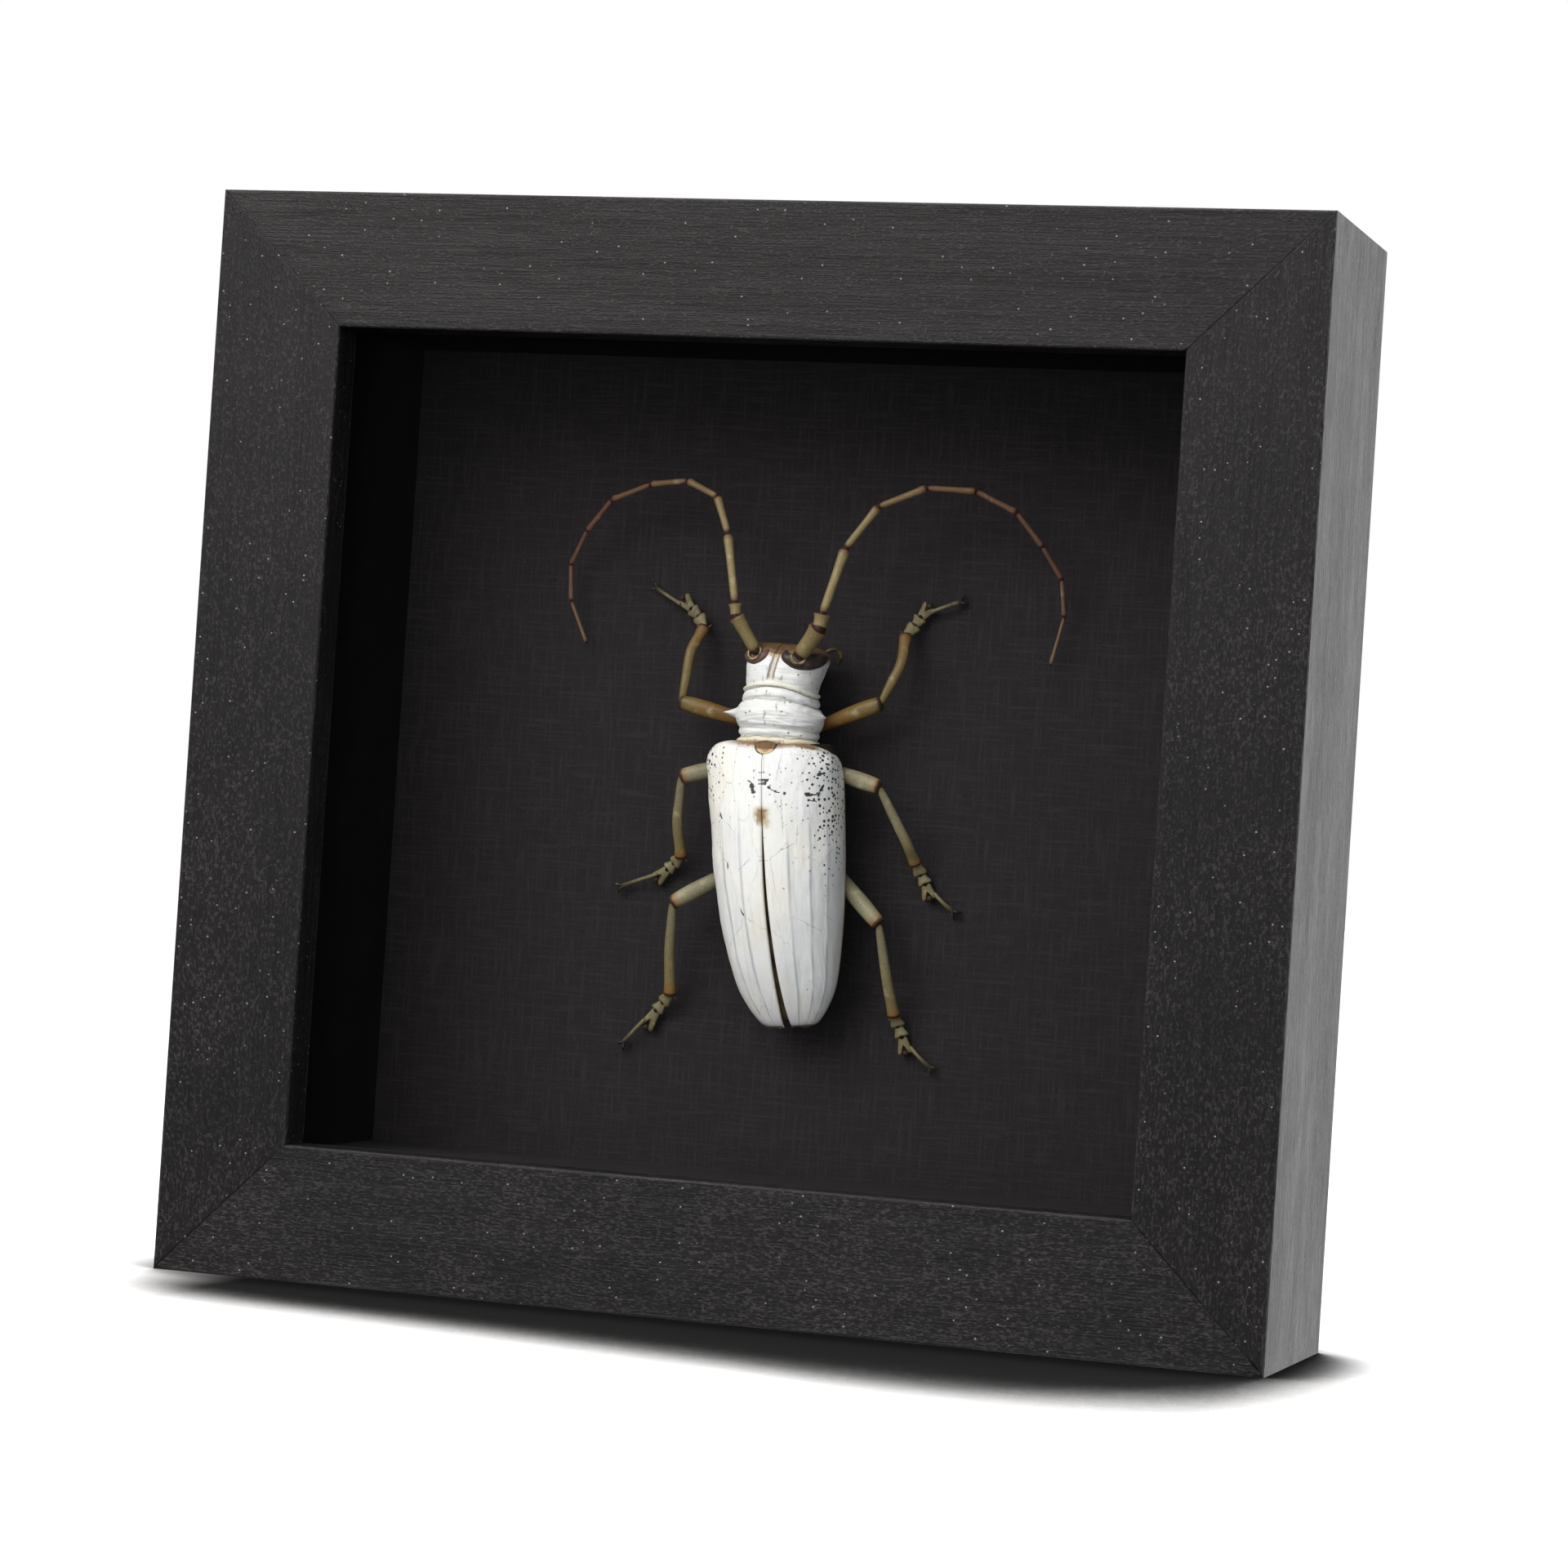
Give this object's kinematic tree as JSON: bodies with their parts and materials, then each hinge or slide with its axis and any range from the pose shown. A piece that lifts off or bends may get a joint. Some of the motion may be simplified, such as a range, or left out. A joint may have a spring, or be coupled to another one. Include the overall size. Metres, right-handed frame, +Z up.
{
  "type": "framed beetle specimen",
  "caption": "Black wooden shadow-box display case with a glazed front that shows a mounted white longhorn beetle against a dark woven board; the back opens by turn buttons.",
  "frame": {"origin": "centre of the case's bottom face, midway between the rails' front and back faces", "axes": "+X to the viewer's right, +Y away from the viewer to the back of the case, +Z up; the glazed front faces -Y"},
  "size_m": [0.1588, 0.0416, 0.1524],
  "materials": {
    "stained_wood": "black stain, satin",
    "liner_strip": "black paint, matte",
    "glass": "clear, polished",
    "mount_paper": "woven linen paper, matte",
    "backing_board": "pressed board, matte",
    "zinc_steel": "zinc plated, satin",
    "bright_steel": "bright, satin",
    "bumper_rubber": "matte",
    "glue": "dried, matte",
    "beetle_eye": "satin",
    "wing_case": "chalky with a satin sheen",
    "scutellum": "matte",
    "head_and_prothorax": "chalky",
    "mouthparts": "satin",
    "feeler": "matte",
    "underside": "downy, matte",
    "leg": "matte"
  },
  "bodies": {
    "case": {"back_board": "backing_board", "beetle_abdomen": "underside", "beetle_eyes": "beetle_eye", "beetle_front_left_femur": "leg", "beetle_front_left_tarsus": "leg", "beetle_front_left_tibia": "leg", "beetle_front_right_femur": "leg", "beetle_front_right_tarsus": "leg", "beetle_front_right_tibia": "leg", "beetle_head": "head_and_prothorax", "beetle_hind_left_femur": "leg", "beetle_hind_left_tarsus": "leg", "beetle_hind_left_tibia": "leg", "beetle_hind_right_femur": "leg", "beetle_hind_right_tarsus": "leg", "beetle_hind_right_tibia": "leg", "beetle_hind_thorax": "underside", "beetle_left_feeler": "feeler", "beetle_left_wing_case": "wing_case", "beetle_middle_left_femur": "leg", "beetle_middle_left_tarsus": "leg", "beetle_middle_left_tibia": "leg", "beetle_middle_right_femur": "leg", "beetle_middle_right_tarsus": "leg", "beetle_middle_right_tibia": "leg", "beetle_mouthparts": "mouthparts", "beetle_prothorax": "head_and_prothorax", "beetle_right_feeler": "feeler", "beetle_right_wing_case": "wing_case", "beetle_scutellum": "scutellum", "bottom_liner": "liner_strip", "bottom_rail": "stained_wood", "corner_v_nails": "bright_steel", "glass_pane": "glass", "glue_pads": "glue", "hanger_nails": "bright_steel", "left_liner": "liner_strip", "left_rail": "stained_wood", "mount_board": "mount_paper", "right_liner": "liner_strip", "right_rail": "stained_wood", "sawtooth_hanger": "zinc_steel", "top_liner": "liner_strip", "top_rail": "stained_wood", "turn_button_screws": "bright_steel", "wall_bumpers": "bumper_rubber"},
    "turn_button_lower_left": {"turn_button_lower_left": "zinc_steel"},
    "turn_button_lower_right": {"turn_button_lower_right": "zinc_steel"},
    "turn_button_upper_left": {"turn_button_upper_left": "zinc_steel"},
    "turn_button_upper_right": {"turn_button_upper_right": "zinc_steel"}
  },
  "joints": [
    {"name": "lower_left_button_turn", "type": "hinge", "parent": "case", "child": "turn_button_lower_left", "pos_m": [-0.0731, 0.01915, 0.0382], "axis": [0, 1, 0], "continuous": true},
    {"name": "lower_right_button_turn", "type": "hinge", "parent": "case", "child": "turn_button_lower_right", "pos_m": [0.0731, 0.01915, 0.0382], "axis": [0, 1, 0], "continuous": true},
    {"name": "upper_left_button_turn", "type": "hinge", "parent": "case", "child": "turn_button_upper_left", "pos_m": [-0.0731, 0.01915, 0.1142], "axis": [0, 1, 0], "continuous": true},
    {"name": "upper_right_button_turn", "type": "hinge", "parent": "case", "child": "turn_button_upper_right", "pos_m": [0.0731, 0.01915, 0.1142], "axis": [0, 1, 0], "continuous": true}
  ]
}
